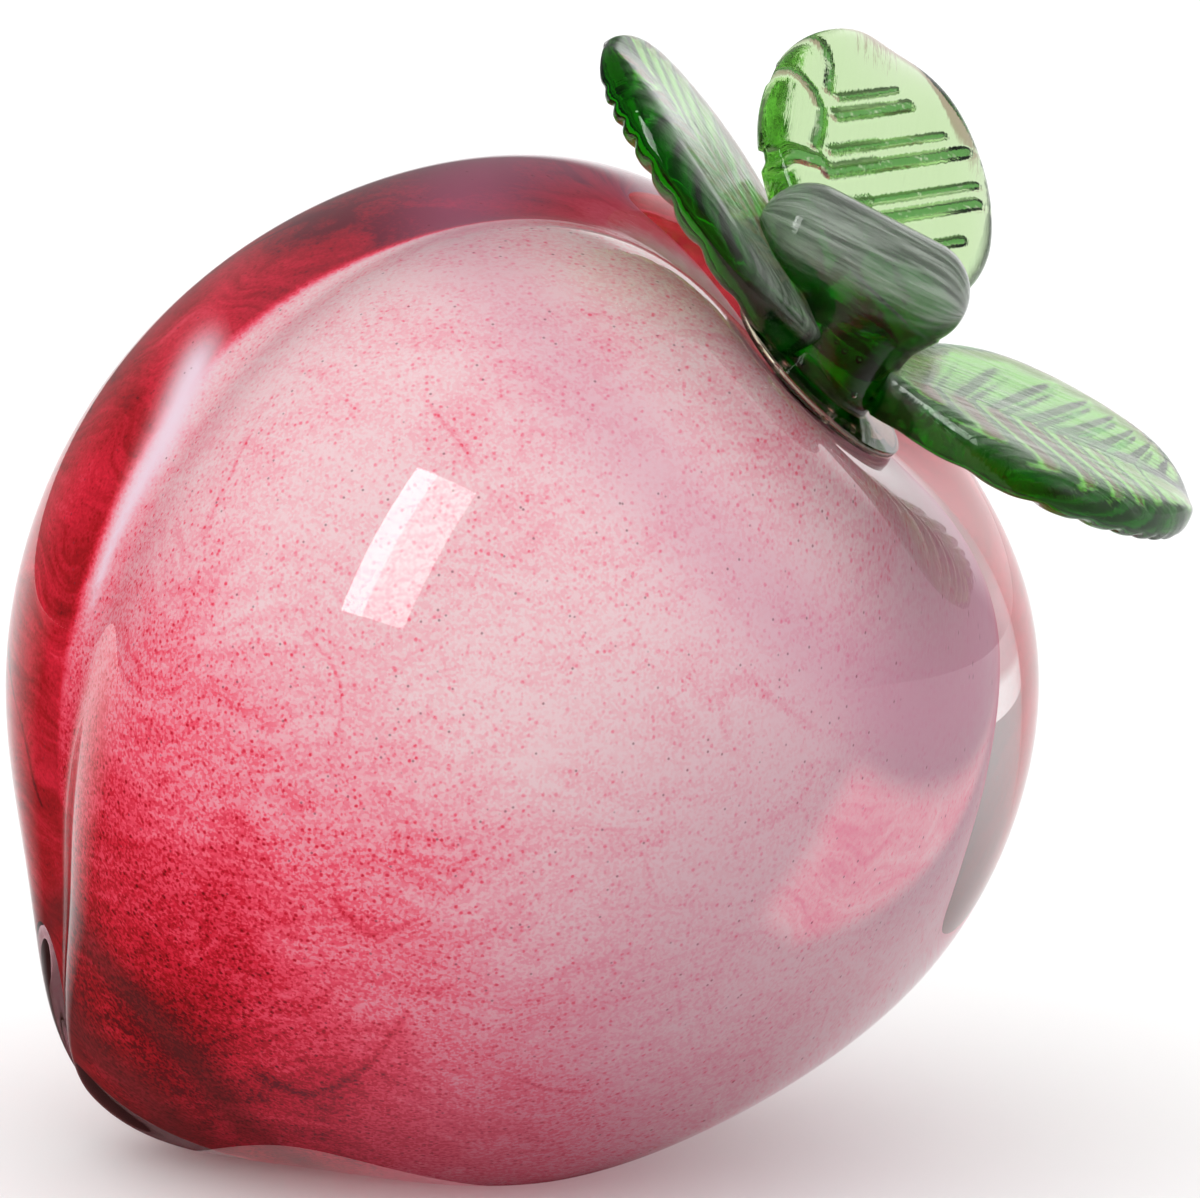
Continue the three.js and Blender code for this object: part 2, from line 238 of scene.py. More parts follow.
def body_radius(direction):
    """The ball's radius plus stretch and tip, less dimple, flank and cleft."""
    polar, turn = polar_and_turn(direction)
    stretch = BODY_STRETCH * np.cos(polar) ** 2
    tip = TIP_HEIGHT * bell(BODY_RADIUS * (np.pi - polar), TIP_SPREAD)
    dimpled = DIMPLE_DEPTH * bell(BODY_RADIUS * angle_between(direction, DIMPLE), DIMPLE_SPREAD)
    flattened = FLANK_DEPTH * bell(BODY_RADIUS * angle_between(direction, FLANK), FLANK_SPREAD)
    return BODY_RADIUS + stretch + tip - dimpled - flattened - cleft_hollow(CLEFT_DEPTH, polar, turn)


def to_world(points):
    """From millimetres about the middle of the body to metres in the frame: lean over, then lift."""
    return points @ LEAN.T * MM + BODY_MIDDLE


def smooth_least(a, b, rounding):
    """The smaller of two numbers, with the corner between them rounded off."""
    share = np.clip(0.5 + (b - a) / (2 * rounding), 0, 1)
    return b + (a - b) * share - rounding * share * (1 - share)


def curve(a, b, c, t):
    """Curve of the second order from a to c that leans towards b."""
    return (1 - t) ** 2 * a + 2 * t * (1 - t) * b + t**2 * c


print(f"floor of the dimple {DIMPLE_FLOOR:.1f} mm from the middle")

# %% [markdown]
# ## The clear casing
# The outer gather is solid crystal, so the visible piece is one closed skin round everything inside. The
# base could be cut with a modifier. Here, along each direction, the skin ends at the floor if that comes
# first, which keeps the grid whole, and the meeting line is eased as a polished rim is.

# %% Shape the casing
CASING_ROWS, CASING_COLUMNS, RIM = 190, 300, 0.5
LEAST_FALL, NO_FLOOR = 0.2, 1e3


def ground_radius(direction):
    """The body's radius, or the distance to the floor where the base is ground off."""
    fall = -(direction @ LEAN.T)[..., 2]
    floor = np.where(fall > LEAST_FALL, BODY_MIDDLE[2] / MM / np.maximum(fall, LEAST_FALL), NO_FLOOR)
    return smooth_least(body_radius(direction), floor, RIM)


polar = np.linspace(0, np.pi, CASING_ROWS + 1)[1:-1, None]
directions = direction_at(polar, lap_of(CASING_COLUMNS))
poles = np.array([[0.0, 0.0, 1.0], [0.0, 0.0, -1.0]])
ends = to_world(poles * ground_radius(poles)[:, None])
casing_wall = to_world(directions * ground_radius(directions)[..., None])
casing = skin("clear_casing_skin", (ends[0], casing_wall, ends[1]))

# %% [markdown]
# ## The heart of colour
# Inside sits the first gather, rolled in powdered pink and red glass. Its skin is a smaller peach, set off
# into the rear lobe, with a neck that flares down from the dimple where the gather was held. The crystal
# round it is a strong lens, which is why so small a heart seems to fill the whole fruit. Colour painted on
# the outside would lie flat, so the heart is a real piece. It is made as a thin closed wall: up the
# inside, over the rim of the neck and down the outside.

# %% Shape the heart
CASING_THICKNESS, HEART_SHIFT, HEART_POLAR, HEART_BEARING = 8.9, 7, 119, 177
HEART_TIP_HEIGHT, HEART_CLEFT_DEPTH, COLOUR_THICKNESS = 8, 4, 1
NECK_RADIUS, NECK_FLARE, NECK_SINK, NECK_BLEND, NECK_STEPS = 5, 9, 13, 2.5, 60
CLEARANCE = 0.3
HEART_MEAN = BODY_RADIUS - CASING_THICKNESS
HEART_SIDE = direction_at(np.radians(HEART_POLAR), np.radians(HEART_BEARING))
SEAT = turn_about("x", DIMPLE_TILT)


def heart_radius(direction, inset):
    """A ball set off into the rear lobe, with a tip and a cleft, joined smoothly to the neck. The neck is a
    curve from its flared foot to its rim, turned about the axis of the dimple."""
    polar, turn = polar_and_turn(direction)
    tip = HEART_TIP_HEIGHT * bell(BODY_RADIUS * (np.pi - polar), TIP_SPREAD)
    ball = HEART_MEAN - inset + tip + HEART_SHIFT * (direction @ HEART_SIDE)
    ball = ball - cleft_hollow(HEART_CLEFT_DEPTH, polar, turn)
    t = np.linspace(1, 0, NECK_STEPS)
    waist, foot = NECK_RADIUS - inset, HEART_MEAN - NECK_SINK
    side = curve(waist + NECK_FLARE, waist, waist, t)
    height = curve(foot, (foot + DIMPLE_FLOOR) / 2, DIMPLE_FLOOR, t)
    along = angle_between(direction, DIMPLE)
    neck = np.interp(along, np.arctan2(side, height), np.hypot(side, height))
    neck = np.where(along < np.arctan2(waist, DIMPLE_FLOOR), DIMPLE_FLOOR / np.cos(along), neck)
    return -smooth_least(-ball, -neck, NECK_BLEND)


HEART_ROWS, HEART_COLUMNS = 150, 320
rim = np.arctan2(NECK_RADIUS, DIMPLE_FLOOR)
inner_rim = np.arctan2(NECK_RADIUS - COLOUR_THICKNESS, DIMPLE_FLOOR)
outer = np.linspace(rim, np.pi, HEART_ROWS + 1)[:-1, None]
inner = np.linspace(np.pi, inner_rim, HEART_ROWS // 2 + 1)[1:, None]
lap = lap_of(HEART_COLUMNS)
inner_way, outer_way = direction_at(inner, lap) @ SEAT.T, direction_at(outer, lap) @ SEAT.T
south = np.array([[0.0, 0.0, -1.0]]) @ SEAT.T
inner_wall = inner_way * heart_radius(inner_way, COLOUR_THICKNESS)[..., None]
outer_wall = outer_way * heart_radius(outer_way, 0)[..., None]
heart_ends = [to_world(south * heart_radius(south, inset)[:, None])[0] for inset in (COLOUR_THICKNESS, 0)]
heart_wall = to_world(np.concatenate([inner_wall, outer_wall]))
heart = skin("colour_layer_skin", (heart_ends[0], heart_wall, heart_ends[1]))

# %% [markdown]
# ## The clear core
# The first gather itself is clear, and the colour lies on it. It is the same form again, a little smaller,
# with the clearance of the solids between.

# %% Shape the clear core
CORE_ROWS, CORE_INSET = 80, COLOUR_THICKNESS + CLEARANCE
polar = np.linspace(0, np.pi, CORE_ROWS + 1)[1:-1, None]
core_way, core_poles = direction_at(polar, lap) @ SEAT.T, poles @ SEAT.T
core_wall = to_world(core_way * heart_radius(core_way, CORE_INSET)[..., None])
core_ends = to_world(core_poles * heart_radius(core_poles, CORE_INSET)[:, None])
core = skin("clear_core_skin", (core_ends[0], core_wall, core_ends[1]))

# %% [markdown]
# ## Where the colour lies
# The maker rolled the tip and the rear lobe through red powder and the rest through pale pink. Seven
# numbers are painted on the heart's points: how red it is, how mauve with painted shade, where a magenta
# band, a clearer patch of painted light, a pale streak of painted reflection and dark rings with painted
# shade lie, and how far the grains have run together. All are smooth functions of the angle from the tip
# and of the bearing from the cleft, both in degrees, so no picture is wrapped round the heart. The shader
# turns them into grains. A name in capitals holds a strength, an angle, or the two values between which
# something rises.

# %% Tools for painting the heart
BANK_BACK, BANK_EDGE = (-180, -140), (-12, -8)


def step(low, high, x):
    """0 below low, 1 above high, with an S-shaped rise between."""
    t = np.clip((x - low) / (high - low), 0, 1)
    return t * t * (3 - 2 * t)


def tip_and_turn(direction):
    """Degrees from the tip, and degrees of bearing from the cleft."""
    polar, turn = polar_and_turn(direction)
    return np.degrees(np.pi - polar), np.degrees(turn)


def far_bank(turn):
    """1 on the rear lobe, with a firm edge along the cleft and a slow one at the back."""
    return step(*BANK_BACK, turn) * (1 - step(*BANK_EDGE, turn))


print(f"share of the rear lobe {far_bank(tip_and_turn(outer_way)[1]).mean():.2f}")


# %% Red
RED_MIDDLE = direction_at(np.radians(170), np.radians(236))
PALEST, TIP_RED, TIP_RED_FADE = 0.07, 0.86, (-5, 95)
NECK_RED, NECK_RED_RISE = 0.12, (132, 152)
REAR_RED, REAR_TOP_SHADE, REAR_TOP_SHADE_RISE, REAR_FADE = 0.79, 0.24, (92, 128), (128, 160)


def redness(direction):
    """Deep red about a point just in front of the tip, fading out a quarter turn away, with a little on the
    neck. The rear lobe is red nearly all over, and deepest high up, where painted shade darkens it."""
    from_tip, turn = tip_and_turn(direction)
    away = np.degrees(angle_between(direction, RED_MIDDLE))
    front = PALEST + TIP_RED * (1 - step(*TIP_RED_FADE, away))
    front = np.maximum(front, PALEST + NECK_RED * step(*NECK_RED_RISE, from_tip))
    # The rear lobe's red is its own colour; its deepening high up is painted shade.
    rear = far_bank(turn) * (REAR_RED + REAR_TOP_SHADE * step(*REAR_TOP_SHADE_RISE, from_tip))
    return np.maximum(front, rear * (1 - step(*REAR_FADE, from_tip)))


print(f"redness below the tip {redness(south)[0]:.2f}")


# %% Painted light patch and painted reflection streak
PATCH_LOW, PATCH_LOW_SLOPE, PATCH_LOW_BEND, PATCH_SOFT = 93, 0.41, 130, (-3, 3)
PATCH_TOP, PATCH_SIDE, PATCH_SKEW, PATCH_MIDDLE, PATCH_END = (114, 121), (114, 124), 0.35, 94, 220
STREAK_BEARING, STREAK_SHIFT, STREAK_SHIFT_RISE = -8, 5, (80, 95)
STREAK_WIDTH, STREAK_WIDER, STREAK_WIDER_RISE = 1.2, 2.6, (66, 92)
STREAK_START, STREAK_STOP = (54, 66), (90, 97)


def painted_light_patch(direction):
    """Painted light: a clearer pink field with firm edges, where light gathered by the crystal falls on the
    heart.
    """
    from_tip, turn = tip_and_turn(direction)
    turn = turn % 360
    edge = PATCH_LOW + PATCH_LOW_SLOPE * np.maximum(turn - PATCH_LOW_BEND, 0)
    level = step(*PATCH_SOFT, from_tip - edge) * (1 - step(*PATCH_TOP, from_tip))
    # Painted light, pinker than the pale powder round it.
    return level * step(*PATCH_SIDE, turn - PATCH_SKEW * (from_tip - PATCH_MIDDLE)) * (turn < PATCH_END)


def painted_reflection_streak(direction):
    """Painted reflection: a pale streak along the far bank of the cleft, wider and further round towards
    the stem.
    """
    from_tip, turn = tip_and_turn(direction)
    middle = STREAK_BEARING - STREAK_SHIFT * step(*STREAK_SHIFT_RISE, from_tip)
    width = STREAK_WIDTH + STREAK_WIDER * step(*STREAK_WIDER_RISE, from_tip)
    ends = step(*STREAK_START, from_tip) * (1 - step(*STREAK_STOP, from_tip))
    return bell(turn - middle, width) * ends


# %% Painted shade in mauve and maroon, dark rings, calm red and magenta band
SHADED_SIDE = 0.75 * right - 0.66 * up
SIDE_SHADE, SIDE_SHADE_RISE, EDGE_SHADE, EDGE_SHADE_RISE = 0.5, (-0.1, 0.85), 0.35, (0.72, 1.0)
REAR_MAUVE_SHADE, REAR_MAUVE_SHADE_RISE = 0.14, (70, 110)
NECK_SHADE, NECK_SHADE_RISE, REAR_DARK_SHADE, REAR_DARK_SHADE_RISE = 0.55, (134, 160), 0.6, (126, 140)
TIP_RING, TIP_RING_WIDTH, NEXT_RING, NEXT_RING_WIDTH, NEXT_DARK = 6, 5, 18, 3, 0.8
RING_SWAY, RING_SWAY_START = 3, 40
BAND_PLACE, BAND_WIDTH = 129, 9


def painted_mauve_shade(direction):
    """Painted shade in mauve: on the side away from the tip and the cleft, most towards the lower right,
    along the right edge, and a little on the rear lobe. The patch of painted light stays clear of it."""
    from_tip, turn = tip_and_turn(direction)
    leaned = direction @ LEAN.T
    # Painted shade: mauve on the lower right side and along the right edge.
    shade = SIDE_SHADE * step(*SIDE_SHADE_RISE, leaned @ SHADED_SIDE) + EDGE_SHADE * step(*EDGE_SHADE_RISE, leaned @ right)
    shade = shade * (1 - painted_light_patch(direction))
    return np.maximum(shade, REAR_MAUVE_SHADE * far_bank(turn) * step(*REAR_MAUVE_SHADE_RISE, from_tip))


def rings_and_painted_shade(direction):
    """Two bands of maroon round the tip, the second one swaying, and painted shade: a dull neck under the
    sprig and a darker top on the rear lobe.
    """
    from_tip, turn = tip_and_turn(direction)
    sway = RING_SWAY * np.sin(np.radians(2 * turn + RING_SWAY_START))
    # Painted shade round the neck under the sprig, and on the top of the rear lobe.
    neck = NECK_SHADE * step(*NECK_SHADE_RISE, from_tip)
    neck = np.maximum(neck, REAR_DARK_SHADE * far_bank(turn) * step(*REAR_DARK_SHADE_RISE, from_tip))
    rings = bell(from_tip - TIP_RING, TIP_RING_WIDTH)
    rings = np.maximum(rings, NEXT_DARK * bell(from_tip - NEXT_RING - sway, NEXT_RING_WIDTH))
    return np.maximum(neck, rings)


def calmness(direction):
    """The red on the rear lobe was melted longer, so its grains have run together."""
    return far_bank(tip_and_turn(direction)[1])


def bandness(direction):
    """A magenta ring about the stem."""
    return bell(tip_and_turn(direction)[0] - BAND_PLACE, BAND_WIDTH)


# %% Paint the heart
all_ways = np.concatenate([inner_way, outer_way])
FIELDS = {
    "red": redness, "mauve": painted_mauve_shade, "patch": painted_light_patch, "band": bandness,
    "streak": painted_reflection_streak, "dark": rings_and_painted_shade, "calm": calmness,
}
for title, field in FIELDS.items():
    values = field(all_ways)
    paint(heart, title, field(south)[0], values, field(south)[0])
    print(f"{title}: {values.min():.2f} to {values.max():.2f}")

# %% [markdown]
# ## The stem
# A stub of stem stands on the floor of the dimple. It is a short column with a rolled head lying across
# it, like a hammer. Two solids could be joined with a boolean, which leaves a ragged seam. Both are convex
# and both hold the middle of the head, so from that point the distance to the skin is the larger of two
# simple distances, eased where they meet. A few bubbles are hollow balls inside the same skin.

# %% Shape the stem
STEM_FOOT_RADIUS, STEM_WAIST_RADIUS, STEM_FLATNESS, STEM_LEAN, STEM_FLOOR = 4.7, 4.4, 0.8, 8, 0.25
HEAD_LENGTH, HEAD_RADIUS, HEAD_HEIGHT, HEAD_OVERHANG, HEAD_TILT = 17, 4, 9.2, 3.9, 17
STEM_FILLET, FOOT_ROUNDING = 2.0, 0.5


def dimple_at(polar):
    """Radius and height of the dimple's skin above its floor, at an angle from its middle."""
    reach = DIMPLE_FLOOR + DIMPLE_DEPTH * (1 - bell(BODY_RADIUS * polar, DIMPLE_SPREAD))
    return np.stack([reach * np.sin(polar), reach * np.cos(polar) - DIMPLE_FLOOR], -1)


FOOT_LEVEL = dimple_at(STEM_FOOT_RADIUS / DIMPLE_FLOOR)[1] + CLEARANCE + STEM_FLOOR
print(f"foot of the stem {FOOT_LEVEL:.2f} mm above the floor of the dimple")


def sprig_to_world(points):
    """From the sprig's own frame, with its origin on the floor of the dimple, to the frame."""
    return to_world(points @ SEAT.T + DIMPLE * DIMPLE_FLOOR)


def stem_radius(direction):
    """From the middle of the head: a capsule along its axis, and a leaning oval column down to the foot."""
    along = np.abs(direction @ turn_about("y", -HEAD_TILT)[:, 0])
    level = np.sqrt(np.maximum(1 - along**2, 1e-9))
    half = HEAD_LENGTH / 2 - HEAD_RADIUS
    side = HEAD_RADIUS / level
    cap = half * along + np.sqrt(np.maximum(HEAD_RADIUS**2 - (half * level) ** 2, 0))
    head = np.where(side * along < half, side, cap)
    slide = np.tan(np.radians(STEM_LEAN))
    wide, deep = (STEM_FOOT_RADIUS + STEM_WAIST_RADIUS) / 2, STEM_FLATNESS * STEM_FOOT_RADIUS
    start = (slide * HEAD_HEIGHT - HEAD_OVERHANG) / wide
    run = (direction[..., 0] + slide * direction[..., 2]) / wide
    a, b = run**2 + (direction[..., 1] / deep) ** 2, start * run
    wall = (-b + np.sqrt(b**2 + a * (1 - start**2))) / np.maximum(a, 1e-6)
    fall = np.maximum(-direction[..., 2], 1e-3)
    column = np.where(direction[..., 2] < 0, smooth_least(wall, HEAD_HEIGHT / fall, FOOT_ROUNDING), 0)
    return -smooth_least(-head, -column, STEM_FILLET)


BUBBLE_ROWS, BUBBLE_COLUMNS = 12, 20
STEM_BUBBLES = [
    ((-2.8, -3.0, 5.6), 0.3), ((-1.5, -3.2, 5.5), 0.22), ((-0.6, -3.2, 5.4), 0.26),
    ((0.6, -3.2, 5.7), 0.3), ((2.3, -2.9, 3.4), 0.28),
]


def bubble(centre, radius):
    """A small hollow ball. Its rings run the other way round, so its wall faces into the hollow."""
    way = direction_at(np.linspace(np.pi, 0, BUBBLE_ROWS + 1)[1:-1, None], lap_of(BUBBLE_COLUMNS))
    places = (np.array(centre) + radius * w for w in (poles[1:], way, poles[:1]))
    first, rings, last = (sprig_to_world(place) for place in places)
    return first[0], rings, last[0]


# %% Build and paint the stem
STEM_ROWS, STEM_COLUMNS, STEM_SHEEN_FADE = 160, 200, (75, 125)
ways = direction_at(np.linspace(0, np.pi, STEM_ROWS + 1)[1:-1, None], lap_of(STEM_COLUMNS))
middle = np.array([-HEAD_OVERHANG, 0, FOOT_LEVEL + HEAD_HEIGHT])
wall, ends = ways * stem_radius(ways)[..., None], poles * stem_radius(poles)[:, None]
stem_ends, stem_wall = sprig_to_world(ends + middle), sprig_to_world(wall + middle)
stem_bubbles = [bubble(*place) for place in STEM_BUBBLES]
stem = skin("stem_skin", (stem_ends[0], stem_wall, stem_ends[1]), *stem_bubbles)
axis, side, top = turn_about("y", -HEAD_TILT).T
round_head = np.arctan2(wall @ side, wall @ top)
paint(stem, "along", ends[0] @ axis * MM, wall @ axis * MM, ends[1] @ axis * MM)
paint(stem, "across", 0, HEAD_RADIUS * MM * round_head, 0)
# Painted sheen on the top of the stem's head, fading down its sides.
paint(stem, "painted_sheen", 1, 1 - step(*STEM_SHEEN_FADE, np.degrees(np.abs(round_head))), 0)

# %% [markdown]
# ## The leaves
# Each leaf is a pad of hot glass pressed in a ribbed mould. A flat plate with a bump map would keep smooth
# edges, so the pad is lofted through sections that follow the ribs, which slant towards the tip. Only the
# underside is pressed: the two side leaves by a cosine along the pad, and the back leaf by straight lines
# and folds of its own, as its other mould left it.

# %% Shape of a leaf
LEAF_LENGTH, LEAF_WIDTH, LEAF_WIDEST, LEAF_THICKNESS = 26.8, 22.5, 0.5, 3.8
LEAF_EDGE_ROUNDING, LEAF_TIP_ROUNDING = 12, 8
LEAF_ROOT_WIDTH, LEAF_ROOT_REACH, LEAF_CUP, LEAF_DROOP = 7, 3.2, 0.3, 1.2
MIDRIB_DEPTH, MIDRIB_SPREAD, MIDRIB_CLEAR = 0.6, 0.2, (0.12, 0.3)
RIB_PITCH, RIB_DEPTH, RIB_BORDER, RIB_SLANT = 2.8, 0.6, 14, 35
ROW_CROWDING, SHEEN_EDGE, SHEEN_TIP, LINE_CORE = 0.4, 8, 6, 0.4


def half_width(along):
    """A sine from the root to the widest point and an ellipse from there to the tip."""
    widest, root, most = LEAF_LENGTH * LEAF_WIDEST, LEAF_ROOT_WIDTH / 2, LEAF_WIDTH / 2
    rise = np.sin(np.pi / 2 * np.clip(along / widest, 0, 1))
    share = np.clip((along - widest) / (LEAF_LENGTH - widest), 0, 1)
    return np.where(along < widest, root + (most - root) * rise, most * np.sqrt(1 - share**2))


def rib_reach(start, slope):
    """How far a rib runs from the midrib to the outline, by halving the span thirty times."""
    low, high = 0 * start, 0 * start + LEAF_WIDTH
    for _ in range(30):
        middle = (low + high) / 2
        inside = half_width(start + slope * middle) > middle
        low, high = np.where(inside, middle, low), np.where(inside, high, middle)
    return low


def near_line(x, y, corners, width):
    """1 on a bent line through the corners, and 0 a width away from it."""
    a, b = np.array(corners[:-1], float), np.array(corners[1:], float)
    run = b - a
    from_a = np.stack([x, y], -1)[..., None, :] - a
    share = np.clip((from_a * run).sum(-1) / (run**2).sum(-1), 0, 1)
    distance = np.linalg.norm(from_a - share[..., None] * run, axis=-1).min(-1)
    return 1 - step(LINE_CORE * width, width, distance)


def leaf_pad(rows, sides, lines):
    """Points of a leaf along +X, its line mask, which also carries painted shade, and its top, which
    carries painted sheen, as rings from root to tip. Rows and sides crowd at the edges, where the pad turns
    over.
    Only the underside is pressed: with ribs that slant off a midrib, or with the lines that are given."""
    share = np.linspace(0, 1, rows + 1)[:-1, None]
    share = ROW_CROWDING * np.sin(np.pi / 2 * share) + (1 - ROW_CROWDING) * share
    start = LEAF_LENGTH * share
    slope = np.tan(np.radians(RIB_SLANT)) * np.sin(np.pi * share)
    angle = -lap_of(sides)
    across = np.cos(angle)
    y = rib_reach(start, slope) * across
    x = start + slope * np.abs(y)
    bulge = LEAF_THICKNESS / 2 * np.sqrt((1 - across**LEAF_EDGE_ROUNDING) * (1 - share**LEAF_TIP_ROUNDING))
    under = angle > -np.pi
    if lines:
        mask = np.max([near_line(x, y, *line) for line in lines], axis=0)
        dip = RIB_DEPTH * mask
    else:
        groove = (0.5 - 0.5 * np.cos(2 * np.pi * start / RIB_PITCH)) ** 2
        pressed = groove * np.sin(np.pi * share) * (1 - across**RIB_BORDER)
        midrib = share * bell(across, MIDRIB_SPREAD)
        mask = np.maximum(pressed * step(*MIDRIB_CLEAR, np.abs(across)), midrib)
        dip = RIB_DEPTH * pressed + MIDRIB_DEPTH * midrib
    bend = LEAF_CUP * (2 * y / LEAF_WIDTH) ** 2 - LEAF_DROOP * (x / LEAF_LENGTH) ** 2
    z = bend + np.where(under, -1, 1) * np.maximum(bulge - under * dip, 0)
    top = ~under * (1 - across**SHEEN_EDGE) * (1 - share**SHEEN_TIP)
    return np.stack([x, y, z], -1), under * mask, top


print(f"a leaf is {2 * half_width(LEAF_LENGTH * LEAF_WIDEST):.1f} mm wide")


# %% Build and paint the leaves
LEAVES = {
    "leaf_left": (183, 15.6, 0.5, 0.216),
    "leaf_right": (14.5, 20.7, -1.2, 0.357),
    "leaf_back": (114.2, 29, -6.1, 0.548),
}
SIDE_GRID, BACK_GRID = (150, 160), (300, 260)
BACK_RIB_TOP, BACK_RIB_SLOPE = 4.5, 0.8
# These folds and lines are pressed into the back leaf and also take painted shade.
BACK_FOLDS = [
    ([(16.4, 11.2), (18.1, 10.0), (18.8, 8.7), (17.7, 6.9), (16.4, 5.9), (14.5, 5.8), (12.8, 6.1)], 0.6),
    ([(24.2, 7.2), (22.3, 6.1), (20.6, 5.6), (18.8, 5.6)], 0.55),
    ([(8.6, 10.8), (10.7, 8.6), (11.2, 6.7), (11.7, 5.3)], 0.9),
]
BACK_RIBS = [
    (22.2, -1.0, 0.35), (20.4, -2.4, 0.6), (16.8, -6.0, 0.4), (14.7, -8.0, 0.65),
    (11.1, -9.3, 0.4), (9.2, -9.6, 0.65), (5.6, -9.0, 0.5),
]


def place_leaf(points, bearing, lift, roll, rise):
    """Roll the leaf about its length, lift its tip, turn it about the stem and carry it to its root."""
    turned = turn_about("z", bearing) @ turn_about("y", -lift) @ turn_about("x", roll)
    seat = LEAF_ROOT_REACH * direction_at(np.pi / 2, np.radians(bearing))
    return points @ turned.T + seat + [0, 0, FOOT_LEVEL + rise * HEAD_HEIGHT]


back_lines = list(BACK_FOLDS)
for start, end, width in BACK_RIBS:
    back_lines.append(([(start - BACK_RIB_SLOPE * y, y) for y in (BACK_RIB_TOP, end)], width))
root, tip = np.zeros(3), np.array([LEAF_LENGTH, 0, -LEAF_DROOP])
leaves = {}
for name, aim in LEAVES.items():
    back = name == "leaf_back"
    pad, groove, top = leaf_pad(*(BACK_GRID if back else SIDE_GRID), back_lines if back else None)
    first, rings, last = (sprig_to_world(place_leaf(p, *aim)) for p in (root, pad, tip))
    leaves[name] = skin(name + "_skin", (first, rings, last))
    paint(leaves[name], "groove", 0, groove, 0)
    # Painted sheen on the tops of the side leaves, none on the back leaf.
    paint(leaves[name], "painted_sheen", 0, 0 * top if back else top, 0)
    paint(leaves[name], "along", 0, pad[..., 0] * MM, LEAF_LENGTH * MM)
    paint(leaves[name], "across", 0, pad[..., 1] * MM, 0)

# %% [markdown]
# ## The bead of cement
# A clear cement holds the sprig. It lies on the dimple as a puddle with a thin edge and climbs a little
# way up the foot of the stem. It is as round as a drop, so one profile is turned about the dimple's axis.
# A few bubbles were caught in it.

# %% Shape the bead
BEAD_POLAR, BEAD_EDGE, BEAD_HEIGHT, BEAD_GAP = 14, 0.6, 1.7, 0.02
BEAD_UNDER, BEAD_OVER, BEAD_COLUMNS = 24, 40, 96
BEAD_BUBBLES = [
    ((-3.2, -4.7, 1.5), 0.45), ((-4.7, -3.6, 1.5), 0.35), ((1.5, -5.3, 1.45), 0.4),
    ((3.7, -4.3, 1.5), 0.3), ((4.9, 2, 1.5), 0.35), ((-2, 5.2, 1.5), 0.3),
]
under = dimple_at(np.linspace(0, np.radians(BEAD_POLAR), BEAD_UNDER)[1:]) + [0, BEAD_GAP]
edge = under[-1] + [0, BEAD_EDGE]
crown = np.array([0, FOOT_LEVEL + BEAD_HEIGHT])
over = curve(edge, np.array([STEM_FOOT_RADIUS, edge[1]]), crown, np.linspace(0, 1, BEAD_OVER)[:-1, None])
profile = np.concatenate([over[::-1], under[::-1]])
lap = lap_of(BEAD_COLUMNS)
out, height = profile[:, :1], profile[:, 1:]
puddle = np.stack([out * np.cos(lap), out * np.sin(lap), height + 0 * lap], -1)
shell = [sprig_to_world(p) for p in (np.array([0, 0, crown[1]]), puddle, np.array([0, 0, BEAD_GAP]))]
bead = skin("seat_bead_skin", shell, *(bubble(*place) for place in BEAD_BUBBLES))

# %% [markdown]
# ## Clear crystal
# Lead crystal is water-white and polished. Its index starts from about 1.55, and 1.52 is the value at which
# the heart was fitted to the picture through this thick lens. Hand finishing leaves the skin a little wavy.
# That is too shallow for the mesh, so a very low bump over 9 mm shows it in the reflections.

# %% Make the crystal
CRYSTAL_WAVE, CRYSTAL_WAVE_HEIGHT = 9, 0.06


def per_metre(size_mm):
    """Scale of a pattern on Object coordinates whose blobs or cells are about one size in millimetres."""
    return 1000 / size_mm


crystal, tree = material("polished lead crystal")
place = node(tree, "TexCoord").outputs["Object"]
wave = node(tree, "TexNoise", None, Vector=place, Scale=per_metre(CRYSTAL_WAVE), Detail=1.0)
bump = node(tree, "Bump", None, Strength=0.25, Distance=CRYSTAL_WAVE_HEIGHT * MM, Height=wave)
shader = node(tree, "BsdfPrincipled", None, Base_Color=linear("#fdfbfc"), Roughness=0.0, IOR=1.52,
              Transmission_Weight=1.0, Normal=bump)
node(tree, "OutputMaterial", None, Surface=shader)
casing.data.materials.append(crystal)
core.data.materials.append(crystal)
print(crystal.name, "on", casing.name, "and", core.name)

# %% [markdown]
# ## Powdered colour
# The heart's skin is frit: crushed pink and red glass, melted on. Two Voronoi patterns give its grains,
# fine ones of 0.2 mm and sparse dots 0.45 mm apart. Streaks drawn out level, clouds and thin swirls show
# how the gather was twisted. All of them are added to the painted redness, and one colour ramp turns the
# sum into colour, from the palest pink to maroon. So the edge of the red breaks up into grains, as the
# real powder does. The melted skin lies inside the crystal, so it has no gloss of its own.

# %% Grains, streaks and swirls
GRAIN, DOT, FLECK, HAIR, CLOUD, BEND, FOLD, FOLD_PLACE = 0.2, 0.45, 0.8, 0.9, 9, 12, 16, 8
MIDDLE = {"From_Min": 0.3, "From_Max": 0.7}
frit, tree = material("pink and red frit")
place = node(tree, "TexCoord").outputs["Object"]
painted = {title: node(tree, "Attribute", {"attribute_name": title}).outputs["Fac"] for title in FIELDS}

